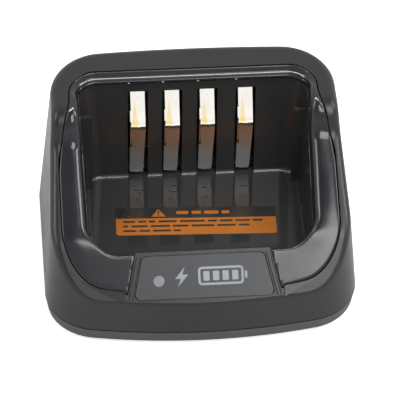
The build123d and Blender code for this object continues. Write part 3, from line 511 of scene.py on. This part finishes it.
def rounded(points, radii, closed=False, step=6.0):
    """Points along a polyline whose corners are rounded to the given radii, a step of degrees apart."""
    out = []
    count = len(points)
    for index, (point, radius) in enumerate(zip(points, radii)):
        if radius == 0.0 or (not closed and index in (0, count - 1)):
            out.append(Vector(point))
            continue
        corner = Vector(point)
        back = (Vector(points[index - 1]) - corner).normalized()
        ahead = (Vector(points[(index + 1) % count]) - corner).normalized()
        half = math.acos(max(-1.0, min(1.0, back.dot(ahead)))) / 2
        centre = corner + (back + ahead).normalized() * (radius / math.sin(half))
        first = corner + back * (radius / math.tan(half)) - centre
        last = corner + ahead * (radius / math.tan(half)) - centre
        sweep = first.angle_signed(last)
        pieces = max(2, math.ceil(abs(math.degrees(sweep)) / step))
        for k in range(pieces + 1):
            out.append(centre + Matrix.Rotation(-sweep * k / pieces, 2) @ first)
    return out


def resample(points, spacing):
    """Evenly spaced points along a polyline."""
    out = [points[0]]
    for start, end in zip(points, points[1:]):
        pieces = max(1, round((end - start).length / spacing))
        out += [start.lerp(end, k / pieces) for k in range(1, pieces + 1)]
    return out


SHEET = rounded(SHEET_POINTS, SHEET_RADII, step=SHEET_STEP)


def sheet_height(y):
    """Height of the top sheet."""
    for low, high in zip(SHEET, SHEET[1:]):
        if y <= high.x:
            return low.y + (high.y - low.y) * (y - low.x) / (high.x - low.x)
    return SHEET[-1].y


def seam_plan():
    """Closed outer edge of the collar, counterclockwise from the middle of the bowed front."""
    half, front = SEAM_HALF_ARM, SEAM_FRONT
    bow_radius = (half ** 2 + SEAM_BOW ** 2) / (2 * SEAM_BOW)
    corner_x = half - SEAM_FRONT_RADIUS
    corner_y = math.sqrt((bow_radius - SEAM_FRONT_RADIUS) ** 2 - corner_x ** 2)
    end_angle = math.atan2(corner_x, corner_y)

    def on_bow(angle):
        return bow_radius * math.sin(angle), front + bow_radius - bow_radius * math.cos(angle)

    touch_x, touch_y = on_bow(end_angle)
    corner = (half, touch_y + (half - touch_x) * math.tan(end_angle))
    bow = [on_bow(end_angle * k / BOW_STEPS) for k in range(BOW_STEPS)]
    side = [corner, (half, SEAM_BEND_Y[1]), (SEAM_HALF_HOOD, SEAM_BEND_Y[0]), (SEAM_HALF_HOOD, SEAM_REAR)]
    radii = [SEAM_FRONT_RADIUS, SEAM_BEND_RADIUS, SEAM_BEND_RADIUS, SEAM_REAR_RADIUS]
    right, right_radii = bow + side, [0.0] * BOW_STEPS + radii
    left = [(-x, y) for x, y in right[:0:-1]]
    return rounded(right + left, right_radii + right_radii[:0:-1], closed=True)


def mouth_plan():
    """Open edge of the pocket mouth from left of the nameplate, round the rear, to right of it."""
    front, rear = MOUTH_RADII
    half = [(MOUTH_HALF, MOUTH_REAR), (MOUTH_HALF, MOUTH_FRONT), (MOUTH_START, MOUTH_FRONT)]
    points = [(-x, y) for x, y in half[::-1]] + half
    return resample(rounded(points, [0.0, front, rear, rear, front, 0.0], step=MOUTH_STEP), MOUTH_SPACING)


def spread(point):
    """The mouth grows upward: moves a point of its plan to the height of the sheet there."""
    height = sheet_height(point.y)
    for _ in range(SPREAD_ROUNDS):
        share = (height - MOUTH_Z[0]) / (MOUTH_Z[1] - MOUTH_Z[0])
        side, front, rear = (share * growth for growth in MOUTH_GROWTH)
        x = point.x + side * max(-1.0, min(1.0, point.x / (MOUTH_HALF - MOUTH_RADII[0])))
        y = point.y + (rear if point.y > 0 else -front)
        height = sheet_height(y)
    return Vector((x, y))


def distance_to(outline, point, heading):
    """Distance from a point along a heading to a closed outline."""
    best = FAR
    for a, b in zip(outline, outline[1:] + outline[:1]):
        along = b - a
        cross = heading.x * along.y - heading.y * along.x
        if abs(cross) < PARALLEL:
            continue
        gap = a - point
        distance = (gap.x * along.y - gap.y * along.x) / cross
        share = (gap.x * heading.y - gap.y * heading.x) / cross
        if distance > 0 and 0 <= share <= 1:
            best = min(best, distance)
    return best


# ---------------------------------------------------------------- pieces

def make_object(name, verts, faces, material, smooth=True):
    """Mesh object from points in millimetres."""
    mesh = bpy.data.meshes.new(name)
    mesh.from_pydata([tuple(c * MM for c in v) for v in verts], [], faces)
    mesh.materials.append(material)
    if smooth:
        mesh.polygons.foreach_set("use_smooth", [True] * len(mesh.polygons))
    obj = bpy.data.objects.new(name, mesh)
    bpy.context.collection.objects.link(obj)
    return obj


def even(curve, count):
    """The same curve with a fixed number of points, evenly spaced along it."""
    lengths = [0.0]
    for a, b in zip(curve, curve[1:]):
        lengths.append(lengths[-1] + (b - a).length)
    out = []
    piece = 0
    for k in range(count):
        goal = lengths[-1] * k / (count - 1)
        while piece < len(curve) - 2 and lengths[piece + 1] < goal:
            piece += 1
        span = lengths[piece + 1] - lengths[piece] or 1.0
        out.append(curve[piece].lerp(curve[piece + 1], min(1.0, (goal - lengths[piece]) / span)))
    return out


def smooth_step(value, low, high):
    """0 up to low, 1 from high, with soft ends between them."""
    share = max(0.0, min(1.0, (value - low) / (high - low)))
    return share * share * (3 - 2 * share)


def arm_section(inner, outward, width, front):
    """Crowned cross-section of an arm: distance inward from the seam and height, from seam to lip."""
    crown = ARM_CROWN * (1 - front)

    def top(offset):
        swell = crown * math.sin(math.pi * min(1.0, offset / width))
        return sheet_height(inner.y + outward.y * (width - offset)) + swell

    radius = min(ARM_ROUND * (1 - front) + FRONT_ROUND * front, width * ROUND_SHARE)
    points = [(offset, top(offset) - drop) for offset, drop in SEAM_EDGE]
    start = SEAM_EDGE[-1][0]
    for k in range(1, ARM_STEPS):
        offset = start + (width - radius - start) * k / ARM_STEPS
        points.append((offset, top(offset)))
    for k in range(ROUND_STEPS + 1):
        turn = math.pi / 2 * k / ROUND_STEPS
        offset = width - radius * (1 - math.sin(turn))
        points.append((offset, top(offset) - radius * (1 - math.cos(turn))))
    return points


def hood_section(inner, outward, width):
    """Cross-section at the hood: ridge, bevel and two narrow steps, with as many points as an arm's."""
    seam_height = sheet_height(inner.y + outward.y * width)
    bevel = even([Vector(p) for p in HOOD_BEVEL[BEVEL_FIRST:STEP_FIRST + 1]], BEVEL_POINTS)
    steps = even([Vector(p) for p in HOOD_BEVEL[STEP_FIRST:]], BEVEL_POINTS)
    profile = list(HOOD_BEVEL[:BEVEL_FIRST + 1]) + bevel[1:] + steps[1:]
    return [(offset, seam_height - drop) for offset, drop in profile]


def lip_section(section, sheet):
    """Closes a cross-section below: down into the mouth, under the lip and back to the seam."""
    lip, lip_height = section[-1]
    bottom = sheet - LIP_DEPTH
    return [Vector((lip, min(bottom, lip_height - LIP_LEAST))), Vector((lip - LIP_WIDTH, bottom)),
            Vector((max(WEB_LEAST, lip - LIP_WIDTH - LIP_SLANT), bottom + LIP_RISE)),
            Vector((0.0, section[0].y - COLLAR_DEPTH + WEB_RISE))]


def collar_ring(point, along, outer):
    """Points of the closed cross-section of the collar at one point of the mouth's plan."""
    outward = Vector((-along.y, along.x))
    inner = spread(point)
    width = distance_to(outer, inner, outward)
    hood = smooth_step(inner.y, *HOOD_BLEND)
    front = smooth_step(-inner.y, *FRONT_BLEND)
    arm = arm_section(inner, outward, width, front)
    bevel = hood_section(inner, outward, width)
    section = [Vector(a).lerp(Vector(b), hood) for a, b in zip(arm, bevel)]
    section += lip_section(section, sheet_height(inner.y))
    places = [(inner + outward * (width - offset), z) for offset, z in section]
    return [(place.x, place.y, z) for place, z in places]


def make_collar(material):
    """Collar swept round the pocket mouth, with soft arms and a stepped bevel under the hood."""
    outer = seam_plan()
    plan = mouth_plan()
    rings = []
    for before, point, after in zip(plan[:1] + plan, plan, plan[1:] + plan[-1:]):
        rings.append(collar_ring(point, (after - before).normalized(), outer))
    size = len(rings[0])
    verts = [v for ring in rings for v in ring]
    faces = []
    for r in range(len(rings) - 1):
        for k in range(size):
            n = (k + 1) % size
            faces.append((r * size + k, r * size + n, (r + 1) * size + n, (r + 1) * size + k))
    faces.append(tuple(range(size - 1, -1, -1)))
    faces.append(tuple((len(rings) - 1) * size + k for k in range(size)))
    obj = make_object("collar", verts, faces, material)
    trim_ends(obj)
    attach(obj, ROOT)
    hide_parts("collar_bezel")
    return obj


def slope_frame():
    """Matrix of the front slope's plane, with X across, Y up the slope and Z outward, in metres."""
    (foot_y, foot_z), (lip_y, lip_z) = SHEET_POINTS[0], SHEET_POINTS[1]
    angle = math.atan2(lip_z - foot_z, lip_y - foot_y)
    place = Vector((0.0, SLOPE_CENTRE[0] * MM, SLOPE_CENTRE[1] * MM))
    return Matrix.Translation(place) @ Matrix.Rotation(angle, 4, "X")


def trim_ends(obj):
    """Cuts both ends of the collar along the nameplate's slanted sides and rounds the cut edges."""
    slope = slope_frame()
    lean = (PANEL_HALF_BOTTOM - PANEL_HALF_TOP) / PANEL_HEIGHT
    middle = (PANEL_HALF_BOTTOM + PANEL_HALF_TOP) / 2 + BRIDGE_MARGIN
    shape = bmesh.new()
    shape.from_mesh(obj.data)
    for side in (-1, 1):
        place = slope @ Vector((side * middle * MM, 0.0, 0.0))
        normal = slope.to_3x3() @ Vector((side, lean, 0.0)).normalized()
        middles = [(f, f.calc_center_median()) for f in shape.faces]
        faces = [f for f, centre in middles if centre.y < END_ZONE_Y * MM and centre.x * side > 0.0]
        edges = list({e for f in faces for e in f.edges})
        corners = list({v for f in faces for v in f.verts})
        cut = bmesh.ops.bisect_plane(shape, geom=corners + edges + faces, plane_co=place, plane_no=normal,
                                     clear_inner=True, clear_outer=False)
        rim = [e for e in cut["geom_cut"] if isinstance(e, bmesh.types.BMEdge)]
        cap = bmesh.ops.contextual_create(shape, geom=rim)["faces"]
        bmesh.ops.bevel(shape, geom=list({e for f in cap for e in f.edges}), offset=END_ROUND * MM,
                        segments=END_ROUND_STEPS, affect="EDGES", profile=0.5)
    shape.normal_update()
    shape.to_mesh(obj.data)
    shape.free()
    obj.data.polygons.foreach_set("use_smooth", [True] * len(obj.data.polygons))
    weighted = obj.modifiers.new("weighted", "WEIGHTED_NORMAL")
    weighted.keep_sharp = True


def flat_shapes(name, loops, place, thickness, material):
    """Thin printed shapes: each is an outline, or an outline and its hole with as many points."""
    verts, faces = [], []
    for loop in loops:
        outline, hole = loop if isinstance(loop, tuple) else (loop, None)
        count = len(outline)
        low = len(verts)
        high, low_in, high_in = low + count, low + 2 * count, low + 3 * count
        for row in [outline] if hole is None else [outline, hole]:
            for z in (0.0, thickness):
                verts += [tuple(place @ Vector((x, y, z))) for x, y in row]
        for k in range(count):
            n = (k + 1) % count
            faces.append((low + k, low + n, high + n, high + k))
            if hole is not None:
                faces.append((low_in + n, low_in + k, high_in + k, high_in + n))
                faces.append((high + k, high + n, high_in + n, high_in + k))
                faces.append((low + n, low + k, low_in + k, low_in + n))
        if hole is None:
            faces.append(tuple(high + k for k in range(count)))
            faces.append(tuple(low + k for k in reversed(range(count))))
    obj = make_object(name, verts, faces, material, smooth=False)
    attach(obj, ROOT)
    return obj


def rounded_box(x, y, width, height, radius):
    """Outline of a rounded rectangle."""
    half_width, half_height = width / 2, height / 2
    corners = [(x - half_width, y - half_height), (x + half_width, y - half_height),
               (x + half_width, y + half_height), (x - half_width, y + half_height)]
    return [tuple(p) for p in rounded(corners, [radius] * 4, closed=True, step=BOX_STEP)]


def make_nameplate_mark(material):
    """Generic printed pictogram: a battery with charge bars and a bolt."""
    width, height = BATTERY_SIZE
    outer_radius, inner_radius = BATTERY_RADII
    outline = rounded_box(BATTERY_X, 0, width, height, outer_radius)
    hole = rounded_box(BATTERY_X, 0, width - 2 * BATTERY_LINE, height - 2 * BATTERY_LINE, inner_radius)
    tip = rounded_box(BATTERY_X + width / 2 + TIP_GAP, 0, *TIP_SIZE, TIP_RADIUS)
    bars = [rounded_box(BATTERY_X + BAR_FIRST + BAR_PITCH * k, 0, *BAR_SIZE, BAR_RADIUS)
            for k in range(BAR_COUNT)]
    on_slope = Matrix.Scale(1 / MM, 4) @ slope_frame() @ Matrix.Scale(MM, 4)
    place = on_slope @ Matrix.Translation((0, 0, PANEL_TOP))
    shapes = [(outline, hole), tip, *bars, list(BOLT)]
    obj = flat_shapes("nameplate_mark", shapes, place, MARK_THICKNESS, material)


def notice_place(z):
    """Matrix of the notice's middle at a height, in millimetres."""
    return Matrix.Translation((*NOTICE_CENTRE, z)) @ Matrix.Rotation(math.radians(NOTICE_TURN), 4, "Z")


def row_of_bars(x, y, lengths, height, gap, radius):
    """Rounded bars one after another from a place rightward."""
    bars = []
    for length in lengths:
        bars.append(rounded_box(x + length / 2, y, length, height, radius))
        x += length + gap
    return bars


def make_notice_print(dark, orange):
    """Plain header band, warning triangle and rows of bars: no lettering."""
    width, depth = NOTICE_SIZE
    band_y = depth / 2 - HEADER_DEPTH / 2
    rows_top = band_y - HEADER_DEPTH / 2 - ROW_FIRST
    band = [rounded_box(0, band_y, width + HEADER_OVERLAP, HEADER_DEPTH + HEADER_OVERLAP / 2, HEADER_RADIUS)]
    triangle = [(TRIANGLE_X - TRIANGLE_HALF, band_y + TRIANGLE_FOOT),
                (TRIANGLE_X + TRIANGLE_HALF, band_y + TRIANGLE_FOOT), (TRIANGLE_X, band_y + TRIANGLE_TIP)]
    title = row_of_bars(TITLE_START, band_y, TITLE_BARS, TITLE_HEIGHT, TITLE_GAP, TITLE_RADIUS)
    stroke = [(TRIANGLE_X - STROKE_FOOT_HALF, band_y - STROKE_HALF_HEIGHT),
              (TRIANGLE_X + STROKE_FOOT_HALF, band_y - STROKE_HALF_HEIGHT),
              (TRIANGLE_X + STROKE_TOP_HALF, band_y + STROKE_HALF_HEIGHT),
              (TRIANGLE_X - STROKE_TOP_HALF, band_y + STROKE_HALF_HEIGHT)]
    dark_marks = [stroke, rounded_box(TRIANGLE_X, band_y + DOT_DROP, DOT_SIZE, DOT_SIZE, DOT_RADIUS)]
    for number, lengths in enumerate(ROWS):
        dark_marks += row_of_bars(ROW_INSET - width / 2, rows_top - ROW_PITCH * number, lengths, ROW_HEIGHT,
                                  ROW_GAP, ROW_RADIUS)
    prints = (("notice_band", band, 0.0, DARK_THICKNESS, dark),
              ("notice_header_marks", [triangle, *title], DARK_THICKNESS, ORANGE_THICKNESS, orange),
              ("notice_bars", dark_marks, BARS_LIFT, DARK_THICKNESS, dark))
    for name, shapes, lift, thickness, material in prints:
        obj = flat_shapes(name, shapes, notice_place(NOTICE_TOP + lift), thickness, material)


materials = make_materials()
dress_cad(materials)
collar = make_collar(materials["collar_plastic"])
make_nameplate_mark(materials["mark_ink"])
make_notice_print(materials["notice_black"], materials["notice_film"])
add_camera()
add_floor()
add_world()
add_lights({**NODES, "collar": collar})
